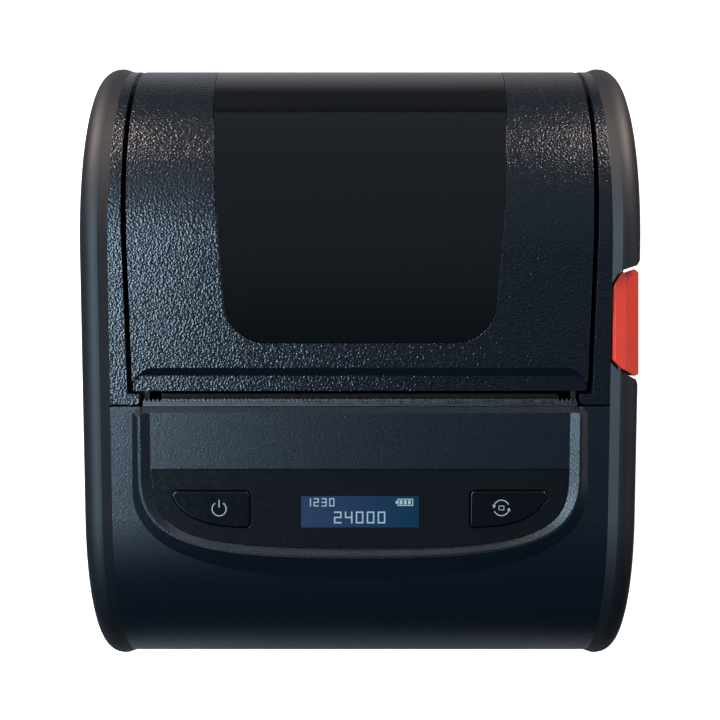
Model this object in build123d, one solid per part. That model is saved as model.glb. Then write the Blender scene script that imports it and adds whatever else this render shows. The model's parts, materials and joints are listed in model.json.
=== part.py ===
from build123d import *
from math import atan2, cos, degrees, pi, radians, sin, sqrt
import os

# Portable label printer lying on its back. Millimetres, +Z up out of the front face,
# +X to the right, +Y towards the rounded end that carries the lid hinge.
# The origin is on the surface it lies on, under the middle of the printer.

# Casing
half_length = 62.0
side_x = 47.6
back_z = 0.6
top_end_radius = 37.4
top_end_z = 28.6
face_slope = 5.5
low_end_radius = 35.0
back_corner = 14.0
wall = 2.2
split_z = 30.0

# Side bumpers
bumper_proud = 0.6
bumper_thick = 5.7
bumper_bevel = 1.8
bumper_round = 3.4

rest_pad_x = 44.0
rest_low_y = -40.0
rest_high_y = 32.0

# Lid
lid_edge_y = -5.45
lid_low_half = 43.3
lid_high_half = 44.9
lid_wall = 2.2
lid_end_z = 14.0
lid_gap = 1.0
step_top_y = -1.05
step_low_y = -2.55
lip_depth = 1.0
window_low_y = 3.6
window_low_half = 25.5
window_high_half = 29.6
window_corner = 8.0
window_end_z = 24.0

# Lid hinge
hinge_y = 56.9
hinge_z = 17.0
hinge_pin_r = 1.25
knuckle_r = 2.6
hinge_relief = 3.0

# Label bay
bay_y = 25.5
bay_z = 32.4
bay_r = 26.5
bay_wall = 1.5
bay_half = 40.6
guide_t = 1.6
hub_r = 6.0
hub_len = 3.0
rack_low_z = 2.95
rack_high_z = 4.15
rack_module = 0.5
rack_teeth = 20

# Print mechanism
platen_y = -0.8
platen_z = 52.0
platen_r = 5.0
platen_half = 37.6
shaft_r = 2.0
plate_x = 41.1
plate_t = 1.0
gear_x = 42.4
gear_w = 1.6
gear_module = 0.6
platen_teeth = 18
idler_teeth = 26
pinion_teeth = 12
head_gap = 0.3
head_pivot_y = -9.2
head_pivot_z = 48.2
latch_y = -5.0
latch_z = 31.0
latch_arm_x = 43.1
bar_half = 41.5
bar_tip_y = -6.7
bar_low_y = -8.05
bar_teeth = 102
bar_tilt = 14

# Front cover and its raised island
cover_y = -8.45
seam = 0.4
island_slope = 4.9
crest_y = -9.65
crest_z = 63.7
crest_half = 42.3
crest_low_y = -37.75
plate_drop = 0.8
skirt_half = 43.7
skirt_low_y = -44.2
panel_top_y = -20.55
panel_half = 39.9
panel_low_y = -36.0
panel_t = 1.6
screen_top_y = -25.8
screen_low_y = -31.9
key_in = 21.2
key_out = 36.2
key_corner = 0.8
key_top_y = -24.9
key_low_y = -31.8
key_gap = 0.3

# Release button on the right side
button_low_y = -2.6
button_high_y = 17.8
button_ridge = 2.5
button_slope_drop = 3.0
button_z = 45.0
button_shoulder_z = 57.0
button_taper = 5.0
button_gap = 0.55
button_pin_x = 49.6
button_pin_z = 61.8
button_pin_r = 0.8
button_pocket_x = 46.9

nodes = {}


def keep(name, shape):
    nodes[name] = shape
    return shape


def block(x0, x1, y0, y1, z0, z1):
    size = (x1 - x0, y1 - y0, z1 - z0)
    return Pos((x0 + x1) / 2, (y0 + y1) / 2, (z0 + z1) / 2) * Box(*size)


def prism(face, x0, x1):
    """A face drawn in Y and Z, made solid from x0 to x1."""
    return extrude(Plane.YZ.offset(x0) * face, x1 - x0, dir=(1, 0, 0))


def tall(face, z0=0.0, z1=80.0):
    """A face drawn in X and Y, made solid from z0 to z1."""
    return extrude(Pos(0, 0, z0) * face, z1 - z0, dir=(0, 0, 1))


def rod(y, z, r, x0, x1):
    return Pos((x0 + x1) / 2, y, z) * Rot(0, 90, 0) * Cylinder(r, x1 - x0)


def both_sides(shape):
    return shape + mirror(shape, Plane.YZ)


def arc(centre, r, start, end):
    points = []
    for angle in (start, (start + end) / 2, end):
        points.append((centre[0] + r * cos(radians(angle)), centre[1] + r * sin(radians(angle))))
    return ThreePointArc(*points)


low_end_y = -(half_length - low_end_radius)
top_end_y = half_length - top_end_radius
slope_rise = (low_end_y - top_end_y) * sin(radians(face_slope))
low_end_z = top_end_z + (top_end_radius - low_end_radius + slope_rise) / cos(radians(face_slope))


def side_outline(grow):
    """Outline of the casing seen from the side, moved outwards by grow."""
    turn = 90 + face_slope
    corner_z = back_z + back_corner
    corner_y = half_length - back_corner
    arcs = [
        arc((top_end_y, top_end_z), top_end_radius + grow, 0, turn),
        arc((low_end_y, low_end_z), low_end_radius + grow, turn, 180),
        arc((-corner_y, corner_z), back_corner + grow, 180, 270),
        arc((corner_y, corner_z), back_corner + grow, 270, 360),
    ]
    edges = []
    for i, bend in enumerate(arcs):
        edges += [bend, Line(bend @ 1, arcs[(i + 1) % 4] @ 0)]
    return make_face(edges)


def face_height(y):
    """Height of the casing's front face at y."""
    turn_y = low_end_y - low_end_radius * sin(radians(face_slope))
    if y < turn_y:
        return low_end_z + sqrt(low_end_radius ** 2 - (y - low_end_y) ** 2)
    if y > top_end_y - top_end_radius * sin(radians(face_slope)):
        return top_end_z + sqrt(top_end_radius ** 2 - (y - top_end_y) ** 2)
    high = top_end_z + top_end_radius / cos(radians(face_slope))
    return high + (y - top_end_y) * sin(radians(face_slope)) / cos(radians(face_slope))


casing = prism(side_outline(0), -side_x, side_x)
cavity = prism(side_outline(-wall), -side_x + wall, side_x - wall)


def lid_plan(grow, low_y):
    """Tapered plan of the lid, moved outwards by grow, as a tall block."""
    far_y = half_length + 5
    slope = (lid_high_half - lid_low_half) / (half_length - lid_edge_y)
    low = lid_low_half + grow + slope * (low_y - lid_edge_y)
    high = lid_low_half + grow + slope * (far_y - lid_edge_y)
    plan = Polygon((-low, low_y), (low, low_y), (high, far_y), (-high, far_y), align=None)
    return tall(plan)


def gear(teeth, bore, turn=0.0):
    """Spur gear along X, with straight-flanked teeth and some play."""
    pitch_r = gear_module * teeth / 2
    tip_r = pitch_r + 0.85 * gear_module
    root_r = pitch_r - 1.2 * gear_module
    half_pitch = 0.46 * pi * gear_module / 2
    blank = Circle(root_r)
    tooth = Polygon(
        (root_r - 0.2, -half_pitch * 1.5), (tip_r, -half_pitch * 0.5),
        (tip_r, half_pitch * 0.5), (root_r - 0.2, half_pitch * 1.5), align=None)
    for i in range(teeth):
        blank += Rot(0, 0, turn + i * 360 / teeth) * tooth
    return blank - Circle(bore)


def gear_solid(teeth, bore, y, z, x0, x1, turn=0.0):
    return prism(Pos(y, z) * gear(teeth, bore, turn), x0, x1)


def back_shell():
    shell = (casing - cavity) & block(-60, 60, -70, 70, 0, split_z)
    hinge_slot = lid_plan(lid_gap, 46) & block(-60, 60, 46, 70, lid_end_z - hinge_relief, split_z + 1)
    shell -= hinge_slot
    shell -= block(-door_half, door_half, door_low_y, door_high_y, back_z - 1, back_z + wall + 1)
    for x, y in case_screw_places:
        post = tall(Pos(x, y) * Circle(2.2), back_z, back_z + 22)
        shell += post & casing
        shell -= tall(Pos(x, y) * Circle(1.95), 0, back_z + 3)
        shell -= tall(Pos(x, y) * Circle(1.0), 0, 40)
    shell += hinge_posts()
    shell -= block(-side_x - 1, -side_x + wall + 1, usb_y - 5.2, usb_y + 5.2, usb_z - 2.2, usb_z + 2.2)
    return shell


def hinge_posts():
    posts = Part()
    for x in (-34.0, 34.0):
        lug = block(x - 3, x + 3, hinge_y - knuckle_r, hinge_y + knuckle_r, 4, hinge_z)
        lug += rod(hinge_y, hinge_z, knuckle_r, x - 3, x + 3)
        lug -= rod(hinge_y, hinge_z, hinge_pin_r + 0.02, x - 4, x + 4)
        posts += lug & casing
    return posts


screw_x = 44.4
case_screw_places = [(-screw_x, -48.0), (screw_x, -48.0), (-screw_x, 40.0), (screw_x, 40.0)]
door_half = 36.0
door_low_y = -47.0
door_high_y = -15.0
usb_y = -34.0
usb_z = 24.0


def upper_shell():
    slabs = casing & block(-60, 60, cover_y + seam, 70, split_z, 80)
    slabs -= lid_plan(lid_gap, cover_y - 1)
    foot = (casing - prism(side_outline(-wall), -60, 60))
    foot_plan = Pos(43.75, (cover_y + seam + lid_edge_y - 0.6) / 2) * Rectangle(3.5, lid_edge_y - 0.6 - cover_y - seam)
    foot_plan = fillet(foot_plan.vertices().sort_by(Axis.X)[:2].sort_by(Axis.Y)[0], 0.8)
    foot &= both_sides(tall(foot_plan, 50))
    tongue = block(44.5, 45.3, -20.5, cover_y + 1, split_z + 1, 57.5)
    bar = block(-45, 45, -20.5, -17.5, 46.3, 49.3)
    shell = slabs + foot + both_sides(tongue) + bar
    shell -= prism(button_window(0.9), side_x - 8, side_x + 1)
    shell -= block(button_pocket_x, side_x + 1, button_low_y - 0.5, button_high_y + 0.5, button_z - 1, 60.8)
    return shell


def button_window(grow):
    """Hole in the right wall for the stem of the release button."""
    return Pos((button_low_y + button_high_y) / 2, 49.5) * Rectangle(9 + 2 * grow, 4 + 2 * grow)


island_normal = (0, -sin(radians(island_slope)), cos(radians(island_slope)))
island = Plane(origin=(0, 0, crest_z - crest_y * sin(radians(island_slope))),
               x_dir=(1, 0, 0), z_dir=island_normal)


def on_island(face, low, high):
    """A face drawn in the plane of the crest, made solid between two heights from it."""
    return extrude(island.offset(low) * face, high - low, dir=island_normal)


def tub(half, top_y, bend_y, low_y, fullness, corner=0.0):
    """Plan with a straight top and sides that sweep round into a bowed lower edge."""
    right = Bezier((half, bend_y), (half, bend_y + 0.86 * (low_y - bend_y)), (fullness, low_y), (0, low_y))
    left = mirror(right, Plane.YZ)
    sides = [(-half, bend_y), (-half, top_y - corner), (half, top_y - corner), (half, bend_y)]
    if corner:
        sides[2:2] = [(-half + corner, top_y), (half - corner, top_y)]
    edges = [Line(start, end) for start, end in zip(sides, sides[1:])]
    return make_face(edges + [right, left])


def front_cover():
    cover = (casing - cavity) & block(-60, 60, -70, cover_y, split_z, 80)
    crest = tub(crest_half, crest_y, -22.0, crest_low_y, 30.0, 1.0)
    side_skirt = tub(skirt_half, cover_y, -24.0, crest_low_y - 1.4, 31.0, 1.0)
    low_skirt = tub(skirt_half + 1.0, cover_y, -26.0, skirt_low_y, 33.0, 1.0)
    sections = [island * crest, island.offset(-1.0) * side_skirt, island.offset(-4.4) * low_skirt]
    hump = loft(sections, ruled=True) - prism(side_outline(-wall), -60, 60)
    cover += hump & block(-60, 60, -70, cover_y, split_z, 80)
    cover -= plate_bed()
    recess = tub(panel_half + 0.05, panel_top_y, -23.0, panel_low_y - 0.05, 30.0)
    cover -= on_island(recess, -plate_drop - panel_t, 5)
    cover -= on_island(panel_opening(2.0), -8, 2)
    return cover


def panel_opening(inset):
    """Hole in the cover under the panel, moved inwards from the panel's edge."""
    return tub(panel_half - inset, panel_top_y - inset, -23.0, panel_low_y + 0.6 * inset, 30.0 - inset)


def plate_bed():
    """Sunk bed inside the island's rim, open towards the tear bar, where it slopes down."""
    open_y = cover_y + 2
    high = tub(crest_half - 0.5, open_y, -22.0, crest_low_y + 0.5, 30.0)
    low = tub(crest_half - 2.2, open_y, -22.0, crest_low_y + 1.3, 29.0)
    bed = loft([island * high, island.offset(-plate_drop) * low], ruled=True)
    level = crest_z - plate_drop
    slope = Polygon((crest_y, level), (cover_y + 1, level - 0.9), (cover_y + 1, 70), (crest_y, 70), align=None)
    bed += prism(slope, -crest_half + 0.4, crest_half - 0.4)
    return bed


def key_plan(grow):
    """Plan of the left key: straight on top and inside, one sweeping corner outside."""
    left = -key_out - grow
    right = -key_in + grow
    top = key_top_y + grow
    low = key_low_y - grow
    outline = [
        Bezier((left, top), (left + 1.2, low + 1.4), (-key_in - 7, low), (right, low)),
        Line((right, low), (right, top)),
        Line((right, top), (left, top)),
    ]
    plan = make_face(outline)
    return fillet(plan.vertices(), key_corner + grow)


panel_top = -plate_drop - 0.1


def control_panel():
    plan = tub(panel_half - 0.05, panel_top_y - 0.1, -23.0, panel_low_y + 0.05, 30.0)
    plan -= key_plan(key_gap)
    plan -= mirror(key_plan(key_gap), Plane.YZ)
    return on_island(plan, -plate_drop - panel_t, panel_top)


def key_cap(right):
    plan = key_plan(0)
    flange = Pos(-(key_in + key_out) / 2, (key_top_y + key_low_y) / 2) * Rectangle(17.5, 7.6)
    flange &= panel_opening(3.0)
    if right:
        plan = mirror(plan, Plane.YZ)
        flange = mirror(flange, Plane.YZ)
    cap = on_island(plan, panel_top - 3.15, panel_top + 0.25)
    crown = cap.faces().sort_by(Axis((0, 0, 0), island_normal))[-1]
    cap = fillet(crown.edges(), 0.22)
    return cap + on_island(flange, panel_top - panel_t - 1.25, panel_top - panel_t - 0.35)


def board(x0, x1, y0, y1, depth, t):
    plan = Pos((x0 + x1) / 2, (y0 + y1) / 2) * Rectangle(x1 - x0, y1 - y0)
    return on_island(plan, panel_top - depth - t, panel_top - depth)


def keyboard_pieces():
    keep("key_board", board(-35.0, 35.0, -31.5, -23.5, 6.6, 1.2))
    domes = Part()
    for side in (-1, 1):
        x = side * (key_in + key_out) / 2
        domes += board(x - 3, x + 3, -30.6, -25.4, 5.3, 1.3)
    keep("key_switches", domes)
    keep("oled_display", board(-15, 15, screen_low_y - 1.4, screen_top_y + 1.4, panel_t + 0.05, 1.6))
    keep("display_carrier", board(-16, 16, -33.4, -23.6, panel_t + 1.7, 3.2)
         - board(-13, 13, -32, -25, panel_t + 3.0, 4))


def bumper():
    """Right bumper, one rubber moulding over the whole side."""
    shape = prism(side_outline(bumper_proud), side_x, side_x + bumper_thick)
    outer = shape.faces().sort_by(Axis.X)[-1]
    shape = fillet(outer.edges(), bumper_round)
    hollow = prism(side_outline(-7), side_x - 1, side_x + 2.4)
    return shape - hollow


def bevel_ring(shape):
    """Slopes the inner rim of a bumper down to the casing."""
    low = Plane.YZ.offset(side_x) * side_outline(0)
    high = Plane.YZ.offset(side_x + bumper_bevel) * side_outline(bumper_proud)
    rim = loft([low, high], ruled=True)
    slab = block(side_x - 1, side_x + bumper_bevel, -80, 80, -5, 80)
    return (shape - slab) + (rim & shape)


def button_plan():
    """Plan of the release button: a long bar whose ends slant towards the casing."""
    inner = side_x + 0.3
    outer = side_x + bumper_thick
    low_end = [(inner, button_low_y + 3.1), (inner + 1.5, button_low_y + 1.5), (outer - 0.9, button_low_y)]
    high_end = [(outer - 1.0, button_high_y), (inner + 1.4, button_high_y - 1.1), (inner, button_high_y - 3.5)]
    sides = [(outer, button_low_y + 0.3), (outer, button_high_y - 0.5)]
    plan = Polygon(*low_end, *sides, *high_end, align=None)
    return fillet(plan.vertices(), 0.4)


def button_notch():
    """Notch in the right bumper that the release button sits in, cut from the front and flared outwards."""
    outer = side_x + bumper_thick
    flare = Polygon((outer - 1.6, button_low_y), (outer - 0.8, button_low_y - 0.5),
                    (outer + 2, button_low_y - 5.3), (outer + 2, button_high_y + 4.4),
                    (outer - 0.9, button_high_y + 0.6), (outer - 1.6, button_high_y), align=None)
    return tall(offset(button_plan(), button_gap) + flare, button_z - 1)


def bumpers():
    right = bevel_ring(bumper())
    right += block(rest_pad_x, side_x + bumper_thick - bumper_round, rest_low_y, rest_high_y, 0, back_z)
    keep("left_bumper", mirror(right, Plane.YZ)
         - block(-60, -side_x + 1, usb_y - 6, usb_y + 6, usb_z - 3, usb_z + 3))
    pin = button_pin()
    keep("right_bumper", right - button_notch() - pin)
    keep("release_pin", pin)


def button_pin():
    """Pin along Y that the release button swings on, held at both ends in the bumper."""
    length = button_high_y - button_low_y + 5.0
    turn = Pos(button_pin_x, (button_low_y + button_high_y) / 2, button_pin_z) * Rot(90, 0, 0)
    return turn * Cylinder(button_pin_r, length)


def release_button():
    """Rocker along the right rim: pushed in at its lower end, it swings about the pin near its top."""
    middle_y = (button_low_y + button_high_y) / 2
    high = face_height(middle_y) + 0.3
    inner = side_x + 0.3
    outer = side_x + bumper_thick
    section = Polygon((inner, button_shoulder_z), (outer, button_shoulder_z), (outer, high - button_slope_drop),
                      (side_x + button_ridge, high), (inner + 0.4, high), (inner, high - 0.4), align=None)
    bar = extrude(Plane.XZ.offset(-button_low_y + 1) * section, 25, dir=(0, 1, 0))
    cap = bar & tall(button_plan(), button_shoulder_z)
    cap = fillet(cap.edges().filter_by(Axis.Y).group_by(Axis.Z)[-1].sort_by(Axis.X)[-1], 0.6)
    foot_plan = Pos(0, 0, button_shoulder_z) * button_plan()
    cap += extrude(foot_plan, button_shoulder_z - button_z, dir=(0, 0, -1), taper=button_taper)
    cap += prism(button_window(0), side_x - 2.2, side_x + 2.0)
    bore = Pos(button_pin_x, middle_y, button_pin_z) * Rot(90, 0, 0) * Cylinder(button_pin_r + 0.05, 40)
    return cap - bore


def lid_pieces():
    skin = prism(side_outline(0), -60, 60) - prism(side_outline(-lid_wall), -60, 60)
    skin &= block(-60, 60, lid_edge_y, 70, lid_end_z, 80)
    skin &= lid_plan(0, lid_edge_y - 1)
    far_y = half_length + 5
    slope = (window_high_half - window_low_half) / (half_length - window_low_y)
    far_half = window_low_half + slope * (far_y - window_low_y)
    plan = Polygon((-window_low_half, window_low_y), (window_low_half, window_low_y),
                   (far_half, far_y), (-far_half, far_y), align=None)
    plan = fillet(plan.vertices().sort_by(Axis.Y)[:2], window_corner)
    hole = tall(plan) & block(-60, 60, 0, 70, window_end_z, 80)
    keep("lid_cover", skin - hole - lip_cut() - post_notches())
    pane_plan = offset(plan, -0.12)
    pane = tall(pane_plan) & block(-60, 60, 0, 70, window_end_z + 0.12, 80)
    keep("lid_window", skin & pane)
    keep("lid_frame", lid_frame())


def lip_cut():
    """What is cut off the lid to leave its low front lip, behind a sloping step."""
    reach = lid_low_half + 1
    corner_y = lid_edge_y + 0.5
    plan = Polygon((-41.0, step_top_y), (41.0, step_top_y), (reach, corner_y), (reach, -9),
                   (-reach, -9), (-reach, corner_y), align=None)
    plan = fillet(plan.vertices().sort_by(Axis.Y)[-2:], 4.2)
    slope = Polygon((-9, 50), (step_low_y, 50), (step_low_y, face_height(step_low_y) - lip_depth),
                    (step_top_y, face_height(step_top_y)), (step_top_y, 75), (-9, 75), align=None)
    cut = tall(plan) & prism(slope, -60, 60)
    return cut - prism(side_outline(-lip_depth), -60, 60)


def lid_frame():
    """Inner frame of the lid: two ribs, a front beam, the platen arms and the knuckles."""
    band = prism(side_outline(-lid_wall), 38.0, 40.4) - prism(side_outline(-lid_wall - 2.6), 37, 41)
    band &= block(0, 60, lid_edge_y + 0.6, 70, lid_end_z, 80)
    arm = prism(Pos(platen_y, platen_z) * Circle(4.2), 38.0, 39.4)
    arm += block(38.0, 39.4, platen_y - 3.4, platen_y + 4.2, platen_z, 61.5)
    frame = both_sides(band + arm)
    beam = prism(side_outline(-lid_wall), -40.4, 40.4) & block(-60, 60, lid_edge_y + 0.3, 2.6, 59.4, 80)
    frame += beam
    tail = prism(side_outline(-lid_wall), -40.4, 40.4) - prism(side_outline(-lid_wall - 2.0), -41, 41)
    frame += tail & block(-60, 60, 50, 70, lid_end_z, window_end_z + 3)
    for x in (-27.0, 27.0):
        lug = rod(hinge_y, hinge_z, knuckle_r, x - 3.4, x + 3.4)
        lug += block(x - 3.4, x + 3.4, hinge_y - 0.5, hinge_y + 2.2, hinge_z, hinge_z + 4)
        frame += lug & casing
    frame -= both_sides(rod(platen_y, platen_z, 3.0, 37, 41))
    frame -= rod(hinge_y, hinge_z, hinge_pin_r + 0.05, -45, 45)
    return frame - post_notches()


def post_notches():
    """Room in the lid for the hinge posts of the casing."""
    return both_sides(block(30.6, 37.4, 50, 70, 0, hinge_z + 3.4))


def platen_pieces():
    keep("platen_shaft", rod(platen_y, platen_z, shaft_r, -gear_x - gear_w, plate_x + plate_t + 0.8))
    rubber = rod(platen_y, platen_z, platen_r, -platen_half, platen_half)
    keep("platen_rubber", rubber - rod(platen_y, platen_z, shaft_r, -50, 50))
    bush = rod(platen_y, platen_z, 3.0, 38.0, 39.4) - rod(platen_y, platen_z, shaft_r + 0.05, 30, 45)
    keep("platen_bushes", both_sides(bush))
    keep("platen_gear", gear_solid(platen_teeth, shaft_r, platen_y, platen_z, -gear_x - gear_w, -gear_x,
                                   mesh_turn(platen_teeth, lift_angle + 180, 0.0)))


lift_angle = degrees(atan2(hinge_y - platen_y, platen_z - hinge_z))
idler_reach = gear_module * (platen_teeth + idler_teeth) / 2
idler_y = platen_y - idler_reach * cos(radians(lift_angle))
idler_z = platen_z - idler_reach * sin(radians(lift_angle))
pinion_angle = 205.0
pinion_reach = gear_module * (idler_teeth + pinion_teeth) / 2
motor_y = idler_y + pinion_reach * cos(radians(pinion_angle))
motor_z = idler_z + pinion_reach * sin(radians(pinion_angle))


def mesh_turn(teeth, angle, phase):
    """Turn that puts a tooth (phase 0) or a gap (phase 0.5) of a gear towards an angle."""
    return angle + phase * 360 / teeth


def gear_train():
    turn = mesh_turn(idler_teeth, lift_angle, 0.5)
    keep("idler_gear", gear_solid(idler_teeth, 1.55, idler_y, idler_z, -gear_x - gear_w, -gear_x, turn))
    post = rod(idler_y, idler_z, 1.5, -gear_x - gear_w, -plate_x - plate_t)
    keep("idler_post", post)
    teeth_seen = (pinion_angle - turn) * idler_teeth / 360
    part_tooth = teeth_seen - round(teeth_seen)
    pinion_turn = pinion_angle + 180 + (0.5 + part_tooth) * 360 / pinion_teeth
    keep("motor_pinion", gear_solid(pinion_teeth, 1.0, motor_y, motor_z, -gear_x - gear_w, -gear_x, pinion_turn))
    keep("motor_shaft", rod(motor_y, motor_z, 1.0, -gear_x - gear_w, -plate_x + 0.4))
    motor = rod(motor_y, motor_z, 9.0, -plate_x + 0.5, -22)
    motor += rod(motor_y, motor_z, 3.5, -plate_x - plate_t + 0.1, -plate_x + 0.5)
    motor += block(-plate_x, -plate_x + 0.8, motor_y - 12.5, motor_y + 5.5, motor_z - 3.5, motor_z + 3.5)
    motor -= rod(motor_y, motor_z, 1.05, -plate_x - 2, -plate_x + 0.45)
    keep("stepper_motor", motor)


def chassis():
    side = prism(Pos(-7.5, 41.0) * Rectangle(25.0, 32.0), plate_x, plate_x + plate_t)
    slot = prism(Pos(platen_y, platen_z) * Circle(shaft_r + 0.35), plate_x - 1, plate_x + 2)
    run = Pos(platen_y, platen_z) * Rot(0, 0, lift_angle) * Pos(7, 0) * Rectangle(14, 2 * shaft_r + 0.7)
    slot += prism(run, plate_x - 1, plate_x + 2)
    side -= slot
    side -= rod(latch_y, latch_z, 1.35, plate_x - 1, plate_x + 2)
    side -= rod(head_pivot_y, head_pivot_z, 1.0, plate_x - 1, plate_x + 2)
    floor = block(-plate_x - plate_t, plate_x + plate_t, -20, -9, 25.0, 26.0)
    side -= block(40, 45, -30, -17.3, 45.9, 60)
    frame = both_sides(side) + floor
    frame += block(-plate_x, plate_x, -15.4, -14.4, 50.0, 57.0)
    frame -= rod(motor_y, motor_z, 3.55, -45, -40)
    frame -= rod(idler_y, idler_z, 1.5, -45, -40)
    return frame


def head_pieces():
    face_y = platen_y - platen_r - head_gap
    keep("print_head", block(-38.6, 38.6, face_y - 1.0, face_y, 47.0, 57.4))
    sink = block(-38.6, 38.6, face_y - 4.6, face_y - 1.0, 46.4, 56.6)
    for i in range(9):
        x = -32 + i * 8
        sink -= block(x - 2.4, x + 2.4, face_y - 5, face_y - 3.2, 50.6, 55.4)
    sink -= rod(head_pivot_y, head_pivot_z, 1.06, -40, 40)
    keep("heat_sink", sink)
    keep("head_pivot_pin", rod(head_pivot_y, head_pivot_z, 1.0, -plate_x - plate_t, plate_x + plate_t))
    springs = Part()
    for x in (-24.0, 0.0, 24.0):
        coil = Cylinder(1.6, 3.0) - Cylinder(1.0, 4.0)
        springs += Pos(x + 0.0, -12.85, 53.0) * Rot(90, 0, 0) * coil
    keep("head_springs", springs)


def tear_bar():
    pitch = 2 * bar_half / bar_teeth
    points = [(-bar_half, bar_low_y)]
    for i in range(bar_teeth):
        x = -bar_half + i * pitch
        points += [(x, bar_tip_y - 0.75), (x + pitch / 2, bar_tip_y)]
    points += [(bar_half, bar_tip_y - 0.75), (bar_half, bar_low_y)]
    blade = tall(Polygon(*points, align=None), 0, 0.6)
    blade = Pos(0, bar_low_y, 61.7) * Rot(bar_tilt, 0, 0) * Pos(0, -bar_low_y, 0) * blade
    leg = block(-bar_half, bar_half, bar_low_y - 0.3, bar_low_y + 0.3, 57.8, 62.1)
    bar = blade + leg
    for x in (-bar_half - 0.2, bar_half - 2.8):
        bar += block(x, x + 3.0, bar_low_y - 6.0, bar_low_y, 57.2, 57.8)
    return bar


def latch_bar():
    shape = rod(latch_y, latch_z, 1.3, -plate_x - plate_t, latch_arm_x + 1.0)
    hook = Polygon((latch_y - 1.6, latch_z - 1.6), (latch_y + 1.6, latch_z - 1.6),
                   (-3.5, 44.0), (-3.3, platen_z + 1.4), (-2.2, platen_z + 2.6), (-1.6, platen_z + 3.8),
                   (-2.8, platen_z + 4.7), (-5.2, platen_z + 4.0), (-5.6, 44.0), align=None)
    shape += both_sides(prism(hook, 39.8, 40.8))
    arm = Polygon((latch_y - 0.9, latch_z), (latch_y + 0.9, latch_z - 0.4), (6.0, 47.5), (6.0, 50.5),
                  (3.2, 50.5), align=None)
    shape += rod(latch_y, latch_z, 2.0, latch_arm_x, latch_arm_x + 1.0)
    return shape + prism(arm, latch_arm_x, latch_arm_x + 1.0)


def label_bay():
    ring = prism(Pos(bay_y, bay_z) * (Circle(bay_r + bay_wall) - Circle(bay_r)), -bay_half, bay_half)
    ring &= block(-60, 60, -10, 53.0, 0, bay_z + 8)
    ring &= block(-60, 60, -10, 49.5, 0, 80)
    slot = block(-bay_half, bay_half, bay_y - 2.2, bay_y + 2.2, 0, 8)
    end = prism(Pos(bay_y, bay_z) * Circle(bay_r + bay_wall), bay_half, bay_half + 1.4)
    end &= block(-60, 60, 5.4, 49.5, 0, bay_z + 2)
    return ring + both_sides(end) - slot


def rack_profile(x0, x1, pitch_y, side):
    """Toothed bar along X; its teeth point to the pinion at the middle of the bay."""
    step = pi * rack_module
    bar = Pos((x0 + x1) / 2, pitch_y - side * 1.6) * Rectangle(x1 - x0, 2.0)
    count = int((x1 - x0) / step)
    for i in range(count):
        x = x0 + (i + 0.5) * step
        tooth = Polygon((x - 0.5, pitch_y - side * 0.7), (x + 0.5, pitch_y - side * 0.7),
                        (x + 0.24, pitch_y + side * 0.4), (x - 0.24, pitch_y + side * 0.4), align=None)
        bar += tooth
    return bar


def roll_guides():
    """Two cheeks that centre the label roll, with hubs, racks and their pinion."""
    inner = bay_half - guide_t - 0.5
    outer = inner + guide_t
    pinion_r = rack_module * rack_teeth / 2
    cheek_face = Pos(bay_y, bay_z) * Circle(15.0)
    cheek_face += Pos(bay_y, bay_z - 18) * Rectangle(16.0, 16.0)
    cheek_face &= Pos(bay_y, bay_z) * Circle(bay_r - 0.5)
    cheek_face -= Pos(bay_y, bay_z) * Circle(3.05)
    cheek = prism(cheek_face, inner, outer)
    cheek += block(inner, outer, bay_y - 1.8, bay_y + 1.8, rack_low_z, bay_z - 20)
    step = pi * rack_module
    tail_x = -(int(6 / step) + 0.5) * step
    bar = rack_profile(tail_x, outer, bay_y - pinion_r, 1)
    cheek += tall(bar, rack_low_z, rack_high_z)
    cheek += block(inner, outer, bay_y - pinion_r - 2, bay_y + 1.8, rack_low_z, rack_high_z)
    hub = rod(bay_y, bay_z, hub_r, inner - hub_len, inner - 0.3)
    hub += rod(bay_y, bay_z, 3.0, inner - 0.3, outer + 0.3)
    half_turn = Pos(0, bay_y, 0) * Rot(0, 0, 180) * Pos(0, -bay_y, 0)
    keep("right_roll_guide", cheek)
    keep("left_roll_guide", half_turn * cheek)
    keep("right_roll_hub", hub)
    keep("left_roll_hub", half_turn * hub)
    wheel = Pos(0, bay_y) * guide_pinion_plan(pinion_r)
    keep("guide_pinion", tall(wheel, rack_low_z, rack_high_z))
    keep("guide_pinion_pin", tall(Pos(0, bay_y) * Circle(1.2), back_z + wall, rack_high_z + 0.1))


def guide_pinion_plan(pitch_r):
    root_r = pitch_r - 0.65
    wheel = Circle(root_r)
    tooth = Polygon((root_r - 0.2, -0.48), (pitch_r + 0.42, -0.2), (pitch_r + 0.42, 0.2), (root_r - 0.2, 0.48),
                    align=None)
    for i in range(rack_teeth):
        wheel += Rot(0, 0, 90 + (i + 0.5) * 360 / rack_teeth) * tooth
    return wheel - Circle(1.25)


def electronics():
    keep("battery_pack", block(-35.5, 35.5, -46.5, -15.5, 3.0, 22.0))
    keep("battery_door", block(-door_half + 0.2, door_half - 0.2, door_low_y + 0.2, door_high_y - 0.2,
                               back_z, back_z + wall))
    keep("main_board", block(-42, 42, -55, -29, 27.6, 29.2))
    keep("usb_socket", block(-45.2, -38.0, usb_y - 4.5, usb_y + 4.5, usb_z - 1.6, usb_z + 1.6)
         - block(-46, -39.5, usb_y - 3.9, usb_y + 3.9, usb_z - 1.0, usb_z + 1.0))
    keep("charger_board", block(-43.5, -37.2, usb_y - 8, usb_y + 8, usb_z + 1.6, usb_z + 3.6))
    keep("radio_module", block(22, 38, -53, -41, 29.2, 31.6))
    keep("buzzer", Pos(30, -35, 30.7) * Cylinder(5.0, 3.0))
    chips = block(-10, 2, -48, -36, 29.2, 30.8)
    chips += block(8, 16, -44, -38, 29.2, 30.4)
    chips += block(-28, -18, -50, -42, 29.2, 31.0)
    keep("board_chips", chips)


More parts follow.
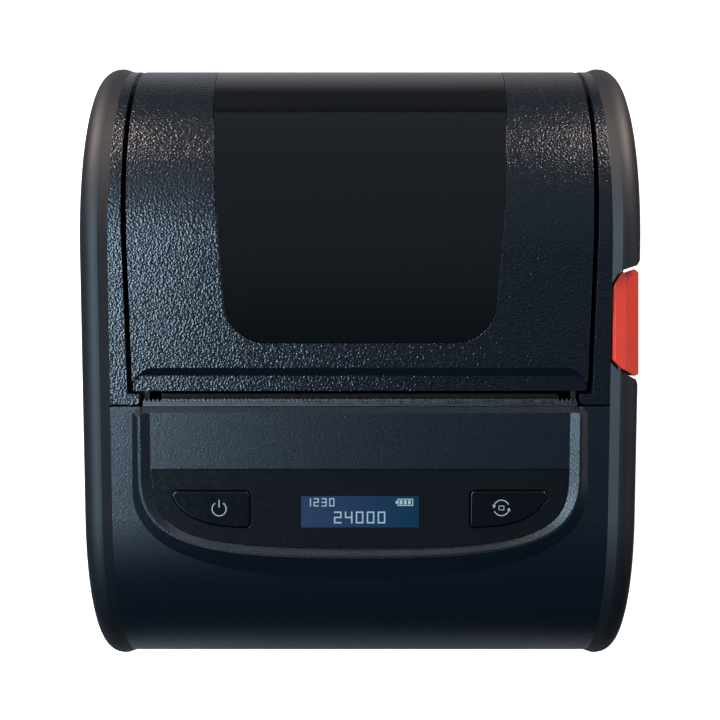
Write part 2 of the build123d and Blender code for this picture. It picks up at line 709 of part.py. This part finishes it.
def ribbons():
    """Flat cables: head to board, and key board to board."""
    keep("head_ribbon", block(-9, 9, -21.5, -20.9, 31.5, 46.0)
         + block(-9, 9, -30.5, -20.9, 30.9, 31.5)
         + block(-9, 9, -30.5, -29.9, 29.2, 31.5))
    keep("panel_ribbon", block(14, 22, -31.0, -30.6, 29.2, 52.0))


def fasteners():
    screws = Part()
    for x, y in case_screw_places:
        screws += tall(Pos(x, y) * Circle(1.85), back_z + 1.6, back_z + 3)
        screws += tall(Pos(x, y) * Circle(1.0), back_z + 3, back_z + 20)
    keep("case_screws", screws)
    motor_screws = Part()
    motor_screws += rod(motor_y - 9.0, motor_z + 1.6, 1.0, -plate_x - plate_t - 0.9, -plate_x)
    motor_screws += rod(motor_y - 9.0, motor_z - 1.8, 1.0, -plate_x - plate_t - 0.9, -plate_x)
    keep("motor_screws", motor_screws)
    bar_screws = Part()
    for x in (-40.3, 40.1):
        bar_screws += Pos(x, bar_low_y - 4.2, 58.2) * Cylinder(1.2, 0.8)
    keep("tear_bar_screws", bar_screws)


keep("back_shell", back_shell())
keep("upper_shell", upper_shell())
keep("front_cover", front_cover())
bumpers()
keep("release_button", release_button())
lid_pieces()
keep("hinge_pin", rod(hinge_y, hinge_z, hinge_pin_r, -37.5, 37.5))
keep("control_panel", control_panel())
keep("power_button", key_cap(False))
keep("feed_button", key_cap(True))
keyboard_pieces()
platen_pieces()
gear_train()
keep("mechanism_frame", chassis())
head_pieces()
keep("tear_bar", tear_bar())
keep("latch_bar", latch_bar())
keep("label_bay", label_bay())
roll_guides()
electronics()
ribbons()
fasteners()

os.makedirs("parts", exist_ok=True)
for name, shape in nodes.items():
    export_step(shape, "parts/" + name + ".step")
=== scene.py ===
import json
import math
import bpy
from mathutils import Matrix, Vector

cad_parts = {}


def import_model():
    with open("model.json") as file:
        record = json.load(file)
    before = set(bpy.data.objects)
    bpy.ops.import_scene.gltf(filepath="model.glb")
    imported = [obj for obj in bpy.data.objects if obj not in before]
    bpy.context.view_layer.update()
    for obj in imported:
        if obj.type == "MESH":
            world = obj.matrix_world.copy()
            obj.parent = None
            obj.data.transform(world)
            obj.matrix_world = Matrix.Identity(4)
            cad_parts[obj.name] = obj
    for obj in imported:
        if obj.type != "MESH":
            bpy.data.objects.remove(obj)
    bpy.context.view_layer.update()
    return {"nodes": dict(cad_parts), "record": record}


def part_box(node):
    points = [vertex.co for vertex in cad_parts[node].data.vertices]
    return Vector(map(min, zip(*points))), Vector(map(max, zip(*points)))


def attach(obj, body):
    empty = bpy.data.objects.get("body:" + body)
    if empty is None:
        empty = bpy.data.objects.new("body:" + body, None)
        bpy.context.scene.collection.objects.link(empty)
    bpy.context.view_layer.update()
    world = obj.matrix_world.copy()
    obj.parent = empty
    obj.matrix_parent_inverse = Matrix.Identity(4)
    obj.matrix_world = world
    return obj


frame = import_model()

MM = 0.001

# Camera: straight above the printer, close enough to see its round ends fall away
CAMERA_Y = 0.45 * MM
CAMERA_RISE = 245 * MM
LENS = 65.1
FACE_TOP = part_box("upper_shell")[1][2]

# Plane of the raised island on the front cover
ISLAND_SLOPE = math.radians(4.9)
PANEL_LEVEL = -0.9
PANEL_EDGE = -20.65
PANEL_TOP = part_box("control_panel")[1][2]
ISLAND_ORIGIN = Vector((0, 0, PANEL_TOP - PANEL_EDGE * MM * math.sin(ISLAND_SLOPE)
                        - PANEL_LEVEL * MM * math.cos(ISLAND_SLOPE)))
ISLAND_UP = Vector((0, math.cos(ISLAND_SLOPE), math.sin(ISLAND_SLOPE)))
ISLAND_OUT = Vector((0, -math.sin(ISLAND_SLOPE), math.cos(ISLAND_SLOPE)))
KEY_LEVEL = PANEL_LEVEL + 0.25
MARK_LIFT = 0.03

SCREEN_HALF = 11.3
SCREEN_TOP = -25.8
SCREEN_LOW = -31.9
POWER_MARK = (-27.0, -28.25)
FEED_MARK = (27.1, -28.05)

MARK_GREY = (0.30, 0.33, 0.35)
GRAIN_BLUE = (0.0040, 0.0066, 0.0105)
FINE_BLUE = (0.0030, 0.0068, 0.0120)

# The floor reflects in the round ends only near the printer
FLOOR_NEAR = 0.11
FLOOR_FAR = 0.17
FLOOR_PALE = 0.26
CEILING = 0.21
CEILING_DIM = 0.15 * CEILING
CEILING_FADE = (-0.17, -0.11)

# Softening of edges in the shading
MOULDED_EDGE = 0.15 * MM
POLISHED_EDGE = 0.12 * MM
METAL_EDGE = 0.08 * MM

POWER_RADIUS = 1.35
FEED_RADIUS = 1.5
MARK_LINE = 0.20


def shader(name):
    """A new material with its Principled shader."""
    material = bpy.data.materials.new(name)
    material.use_nodes = True
    return material, material.node_tree.nodes["Principled BSDF"]


def set_values(node, **values):
    """Set sockets by their names, with _ for a space."""
    for key, value in values.items():
        socket = node.inputs[key.replace("_", " ")]
        if isinstance(value, tuple) and len(value) == 3:
            value = (*value, 1.0)
        socket.default_value = value


def texture(tree, kind, scale, **values):
    """A procedural texture in the frame's own metres."""
    place = tree.nodes.new("ShaderNodeTexCoord")
    node = tree.nodes.new(kind)
    node.inputs["Scale"].default_value = scale
    set_values(node, **values)
    tree.links.new(place.outputs["Object"], node.inputs["Vector"])
    return node


def edge_round(tree, radius):
    """Softened edges in the shading."""
    node = tree.nodes.new("ShaderNodeBevel")
    node.samples = 4
    node.inputs["Radius"].default_value = radius
    return node


def bump(tree, height, strength, depth, below):
    """A bump over the normal below it."""
    node = tree.nodes.new("ShaderNodeBump")
    node.inputs["Strength"].default_value = strength
    node.inputs["Distance"].default_value = depth
    tree.links.new(height, node.inputs["Height"])
    tree.links.new(below, node.inputs["Normal"])
    return node.outputs["Normal"]


def ramp(tree, source, low, high, low_at=0.0, high_at=1.0):
    """A value that goes from low to high while its source goes from low_at to high_at."""
    node = tree.nodes.new("ShaderNodeMapRange")
    node.inputs["From Min"].default_value = low_at
    node.inputs["From Max"].default_value = high_at
    node.inputs["To Min"].default_value = low
    node.inputs["To Max"].default_value = high
    tree.links.new(source, node.inputs["Value"])
    return node.outputs["Result"]


def moulded(name, color, rough, grain, depth, sparkle=0.0):
    """Moulded plastic or rubber with an eroded grain of a given size in metres."""
    material, body = shader(name)
    tree = material.node_tree
    set_values(body, Base_Color=color, Specular_IOR_Level=0.5)
    noise = texture(tree, "ShaderNodeTexNoise", 1 / grain, Detail=1.0, Roughness=0.5)
    normal = edge_round(tree, MOULDED_EDGE).outputs["Normal"]
    if sparkle:
        cells = texture(tree, "ShaderNodeTexVoronoi", 1 / grain)
        normal = bump(tree, cells.outputs["Distance"], 1.0, sparkle, normal)
    normal = bump(tree, noise.outputs["Fac"], 1.0, depth, normal)
    tree.links.new(normal, body.inputs["Normal"])
    tree.links.new(ramp(tree, noise.outputs["Fac"], rough - 0.05, rough + 0.05, 0.3, 0.7),
                   body.inputs["Roughness"])
    return material


def polished(name, color, rough):
    """Polished plastic with faint large waves, as moulded sheet has."""
    material, body = shader(name)
    tree = material.node_tree
    set_values(body, Base_Color=color, Specular_IOR_Level=0.5)
    waves = texture(tree, "ShaderNodeTexNoise", 60.0, Detail=1.0)
    rounded = edge_round(tree, POLISHED_EDGE).outputs["Normal"]
    normal = bump(tree, waves.outputs["Fac"], 0.05, 0.2 * MM, rounded)
    tree.links.new(normal, body.inputs["Normal"])
    dust = texture(tree, "ShaderNodeTexNoise", 900.0, Detail=3.0)
    tree.links.new(ramp(tree, dust.outputs["Fac"], rough, rough + 0.05, 0.4, 0.7), body.inputs["Roughness"])
    return material


def metal(name, color, rough, brushed=0.0):
    """Metal with fine streaks in its roughness."""
    material, body = shader(name)
    tree = material.node_tree
    set_values(body, Base_Color=color, Metallic=1.0)
    streaks = texture(tree, "ShaderNodeTexNoise", 1400.0, Detail=3.0)
    tree.links.new(ramp(tree, streaks.outputs["Fac"], rough - 0.05, rough + 0.1 + brushed, 0.3, 0.7),
                   body.inputs["Roughness"])
    tree.links.new(edge_round(tree, METAL_EDGE).outputs["Normal"], body.inputs["Normal"])
    return material


def glowing(name, color, strength):
    """A print that gives its own light."""
    material, body = shader(name)
    set_values(body, Base_Color=(0.0, 0.0, 0.0), Emission_Color=color, Emission_Strength=strength,
               Roughness=0.2)
    return material


def make_materials():
    """All materials, by the slot names of the record."""
    return {
        "grain_dark": moulded("grain_dark", GRAIN_BLUE, 0.20, 0.42 * MM, 0.075 * MM, 0.05 * MM),
        "fine_dark": moulded("fine_dark", FINE_BLUE, 0.32, 0.30 * MM, 0.03 * MM, 0.02 * MM),
        "rubber_dark": moulded("rubber_dark", (0.0034, 0.0050, 0.0075), 0.55, 0.08 * MM, 0.004 * MM),
        "smoked_window": polished("smoked_window", (0.003, 0.004, 0.005), 0.05),
        "panel_gloss": polished("panel_gloss", (0.006, 0.0075, 0.0095), 0.14),
        "key_gloss": polished("key_gloss", (0.003, 0.0045, 0.0065), 0.14),
        "release_orange": moulded("release_orange", (0.62, 0.043, 0.022), 0.38, 0.3 * MM, 0.005 * MM),
        "inner_plastic": moulded("inner_plastic", (0.006, 0.0065, 0.008), 0.5, 0.3 * MM, 0.01 * MM),
        "white_plastic": moulded("white_plastic", (0.68, 0.66, 0.60), 0.4, 0.4 * MM, 0.005 * MM),
        "steel": metal("steel", (0.12, 0.125, 0.125), 0.36, 0.1),
        "bright_steel": metal("bright_steel", (0.55, 0.56, 0.58), 0.22),
        "aluminium": metal("aluminium", (0.45, 0.46, 0.48), 0.4, 0.1),
        "ceramic_head": polished("ceramic_head", (0.016, 0.017, 0.018), 0.15),
        "platen_rubber": moulded("platen_rubber", (0.003, 0.003, 0.0035), 0.8, 0.1 * MM, 0.01 * MM),
        "board_green": polished("board_green", (0.01, 0.09, 0.04), 0.3),
        "chip_black": moulded("chip_black", (0.012, 0.012, 0.013), 0.45, 0.2 * MM, 0.01 * MM),
        "display_glass": polished("display_glass", (0.004, 0.01, 0.018), 0.05),
        "ribbon_orange": polished("ribbon_orange", (0.35, 0.12, 0.02), 0.25),
        "battery_wrap": polished("battery_wrap", (0.02, 0.035, 0.10), 0.3),
    }


def paint_nodes(made):
    """Give each CAD piece the material of its slot."""
    for part in frame["record"]["subparts"]:
        node = frame["nodes"][part["node"]]
        node.data.materials.clear()
        node.data.materials.append(made[part["material_slot"]])


def on_island(u, v, w):
    """A point on the island, from millimetres across, along and above the crest plane."""
    return ISLAND_ORIGIN + Vector((u * MM, 0, 0)) + ISLAND_UP * v * MM + ISLAND_OUT * w * MM


def flat_marks(name, outlines, level, material, body):
    """Thin printed shapes on the island, from outlines in millimetres."""
    points = []
    faces = []
    for outline in outlines:
        start = len(points)
        points += [on_island(u, v, level) for u, v in outline]
        faces.append(list(range(start, start + len(outline))))
    mesh = bpy.data.meshes.new(name)
    mesh.from_pydata(points, [], faces)
    mesh.materials.append(material)
    piece = bpy.data.objects.new(name, mesh)
    bpy.context.scene.collection.objects.link(piece)
    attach(piece, body)


def rectangle(u0, v0, u1, v1):
    """Outline between two opposite corners."""
    return [(u0, v0), (u1, v0), (u1, v1), (u0, v1)]


def frame_bars(u0, v0, u1, v1, t):
    """Four bars that draw a hollow rectangle."""
    return [rectangle(u0, v0, u1, v0 + t), rectangle(u0, v1 - t, u1, v1),
            rectangle(u0, v0 + t, u0 + t, v1 - t), rectangle(u1 - t, v0 + t, u1, v1 - t)]


def ring_arc(centre, radius, width, start, end, steps=20):
    """Quads along an arc, in degrees."""
    quads = []
    for i in range(steps):
        a = math.radians(start + (end - start) * i / steps)
        b = math.radians(start + (end - start) * (i + 1) / steps)
        inner, outer = radius - width / 2, radius + width / 2
        quads.append([
            (centre[0] + inner * math.cos(a), centre[1] + inner * math.sin(a)),
            (centre[0] + outer * math.cos(a), centre[1] + outer * math.sin(a)),
            (centre[0] + outer * math.cos(b), centre[1] + outer * math.sin(b)),
            (centre[0] + inner * math.cos(b), centre[1] + inner * math.sin(b)),
        ])
    return quads


def key_marks():
    """Printed marks on the keys: a power sign, and a turning sign round a small label."""
    ink_with_glow, body = shader("key_ink_painted_glow")
    # Painted light: the printed grey marks also glow faintly, though ink gives no light of its own.
    set_values(body, Base_Color=MARK_GREY, Roughness=0.5, Emission_Color=MARK_GREY, Emission_Strength=0.1)
    level = KEY_LEVEL + MARK_LIFT
    u, v = POWER_MARK
    power = ring_arc(POWER_MARK, POWER_RADIUS, MARK_LINE, 125, 415)
    power.append(rectangle(u - MARK_LINE / 2, v + 0.3, u + MARK_LINE / 2, v + 1.75))
    flat_marks("power_mark", power, level, ink_with_glow, "power_key")
    u, v = FEED_MARK
    feed = []
    for start, end in ((25, 160), (205, 340)):
        feed += ring_arc(FEED_MARK, FEED_RADIUS, MARK_LINE, start, end)
    feed += frame_bars(u - 0.55, v - 0.45, u + 0.55, v + 0.45, 0.15)
    for turn in (160, 340):
        feed.append(arrow_head(FEED_MARK, FEED_RADIUS, turn))
    flat_marks("feed_mark", feed, level, ink_with_glow, "feed_key")


def arrow_head(centre, radius, turn):
    """Triangle at the end of an arc, pointing along it."""
    points = []
    for reach, ahead in ((-0.35, 0), (0.35, 0), (0, 24)):
        a = math.radians(turn + ahead)
        far = radius + reach
        points.append((centre[0] + far * math.cos(a), centre[1] + far * math.sin(a)))
    return points


# Lit bars of each figure: a to f clockwise from the top, g in the middle
DIGITS = {"0": "abcdef", "1": "bc", "2": "abged", "3": "abgcd", "4": "fgbc"}


def digit(figure, u, v, w, h, t):
    """Seven-segment figure with its lower left corner at u, v."""
    middle = v + h / 2
    bars = {
        "a": rectangle(u, v + h - t, u + w, v + h),
        "b": rectangle(u + w - t, middle, u + w, v + h),
        "c": rectangle(u + w - t, v, u + w, middle),
        "d": rectangle(u, v, u + w, v + t),
        "e": rectangle(u, v, u + t, middle),
        "f": rectangle(u, middle, u + t, v + h),
        "g": rectangle(u, middle - t / 2, u + w, middle + t / 2),
    }
    return [bars[segment] for segment in DIGITS[figure]]


def screen():
    """The lit display seen through the panel, over a background that glows with painted sheen, brighter at
    the left.
    """
    level = PANEL_LEVEL + MARK_LIFT
    material, body = shader("screen_painted_sheen")
    tree = material.node_tree
    set_values(body, Base_Color=(0.004, 0.01, 0.016), Roughness=0.12, Emission_Strength=1.0)
    # Painted sheen: the display's background glows blue and fades from left to right, standing in for light
    # from the lamps on the left.
    place = tree.nodes.new("ShaderNodeTexCoord")
    split = tree.nodes.new("ShaderNodeSeparateXYZ")
    tree.links.new(place.outputs["Object"], split.inputs["Vector"])
    across = ramp(tree, split.outputs["X"], 0.0, 1.0, -SCREEN_HALF * MM, SCREEN_HALF * MM)
    painted_sheen_ramp = tree.nodes.new("ShaderNodeValToRGB")
    painted_sheen_ramp.color_ramp.elements[0].color = (0.020, 0.036, 0.088, 1)
    painted_sheen_ramp.color_ramp.elements[1].color = (0.001, 0.022, 0.055, 1)
    tree.links.new(across, painted_sheen_ramp.inputs["Fac"])
    tree.links.new(painted_sheen_ramp.outputs["Color"], body.inputs["Emission Color"])
    flat_marks("screen_painted_sheen", [rectangle(-SCREEN_HALF, SCREEN_LOW, SCREEN_HALF, SCREEN_TOP)], level,
               material, "casing")
    lit = glowing("screen_lit", (0.42, 0.66, 0.76), 0.75)
    top_row = SCREEN_TOP - 2.0
    low_row = SCREEN_LOW + 0.8
    marks = []
    for i, figure in enumerate("1230"):
        marks += digit(figure, -10.4 + 1.5 * i, top_row, 1.0, 1.6, 0.2)
    marks += frame_bars(7.2, top_row + 0.1, 10.2, top_row + 1.5, 0.18)
    marks.append(rectangle(6.85, top_row + 0.5, 7.2, top_row + 1.1))
    marks += [rectangle(7.6 + i * 0.8, top_row + 0.4, 8.15 + i * 0.8, top_row + 1.2) for i in range(3)]
    for i, figure in enumerate("24000"):
        marks += digit(figure, -5.0 + 2.1 * i, low_row, 1.45, 2.3, 0.26)
    flat_marks("screen_marks", marks, level + MARK_LIFT, lit, "casing")


def area_light(name, at, aim, width, height, power, color):
    """A rectangular lamp that faces its aim."""
    light = bpy.data.lights.new(name, "AREA")
    light.shape = "RECTANGLE"
    light.size = width
    light.size_y = height
    light.energy = power
    light.color = color
    lamp = bpy.data.objects.new(name, light)
    lamp.location = at
    lamp.rotation_euler = (Vector(aim) - Vector(at)).to_track_quat("-Z", "Y").to_euler()
    bpy.context.scene.collection.objects.link(lamp)


def floor():
    """Pale floor, white to the camera; the round ends see it only close to the printer."""
    bpy.ops.mesh.primitive_plane_add(size=6, location=(0, 0, -0.0002))
    plane = bpy.context.object
    plane.name = "floor"
    material, body = shader("floor")
    tree = material.node_tree
    set_values(body, Roughness=0.9, Specular_IOR_Level=0.1, Emission_Color=(1.0, 1.0, 1.0))
    path = tree.nodes.new("ShaderNodeLightPath")
    seen = path.outputs["Is Camera Ray"]
    glow = ramp(tree, seen, 0.0, 0.90)
    tree.links.new(glow, body.inputs["Emission Strength"])
    place = tree.nodes.new("ShaderNodeTexCoord")
    reach = tree.nodes.new("ShaderNodeVectorMath")
    reach.operation = "LENGTH"
    tree.links.new(place.outputs["Object"], reach.inputs[0])
    near = ramp(tree, reach.outputs["Value"], FLOOR_PALE, 0.02, FLOOR_NEAR, FLOOR_FAR)
    pale = tree.nodes.new("ShaderNodeMath")
    pale.operation = "MAXIMUM"
    tree.links.new(ramp(tree, seen, 0.0, 0.8), pale.inputs[0])
    tree.links.new(near, pale.inputs[1])
    tree.links.new(pale.outputs["Value"], body.inputs["Base Color"])
    plane.data.materials.append(material)


def world():
    """A dim ceiling, darker on the near side."""
    scene = bpy.context.scene
    scene.world = scene.world or bpy.data.worlds.new("world")
    scene.world.use_nodes = True
    tree = scene.world.node_tree
    back = tree.nodes["Background"]
    back.inputs["Color"].default_value = (0.80, 0.92, 1.0, 1)
    place = tree.nodes.new("ShaderNodeTexCoord")
    split = tree.nodes.new("ShaderNodeSeparateXYZ")
    tree.links.new(place.outputs["Generated"], split.inputs["Vector"])
    tree.links.new(ramp(tree, split.outputs["Y"], CEILING_DIM, CEILING, *CEILING_FADE),
                   back.inputs["Strength"])


def lights():
    """Cool lamps over the left side, warm ones behind, and a weak one on the right."""
    middle = (0, 0, 0.06)
    area_light("key", (-0.31, 0.0, 0.65), (-0.31, 0.0, 0), 0.12, 0.40, 3.6, (0.58, 0.79, 1.0))
    area_light("fill", (-0.40, 0.0, 0.60), (-0.40, 0.0, 0), 0.40, 1.1, 3.4, (0.62, 0.82, 1.0))
    for side in (-1, 1):
        area_light("back", (side * 0.36, 0.52, 0.20), middle, 0.25, 0.25, 4.6, (1.0, 0.80, 0.72))
    area_light("right", (0.65, 0.0, 0.30), middle, 0.3, 0.5, 0.5, (0.9, 0.95, 1.0))


def camera():
    """The photograph's view, straight down."""
    data = bpy.data.cameras.new("camera")
    data.lens = LENS
    data.sensor_width = 36
    eye = bpy.data.objects.new("camera", data)
    eye.location = (0, CAMERA_Y, FACE_TOP + CAMERA_RISE)
    eye.rotation_euler = (0, 0, 0)
    bpy.context.scene.collection.objects.link(eye)
    bpy.context.scene.camera = eye


paint_nodes(make_materials())
key_marks()
screen()
floor()
world()
lights()
camera()
bpy.context.scene.view_settings.view_transform = "Standard"
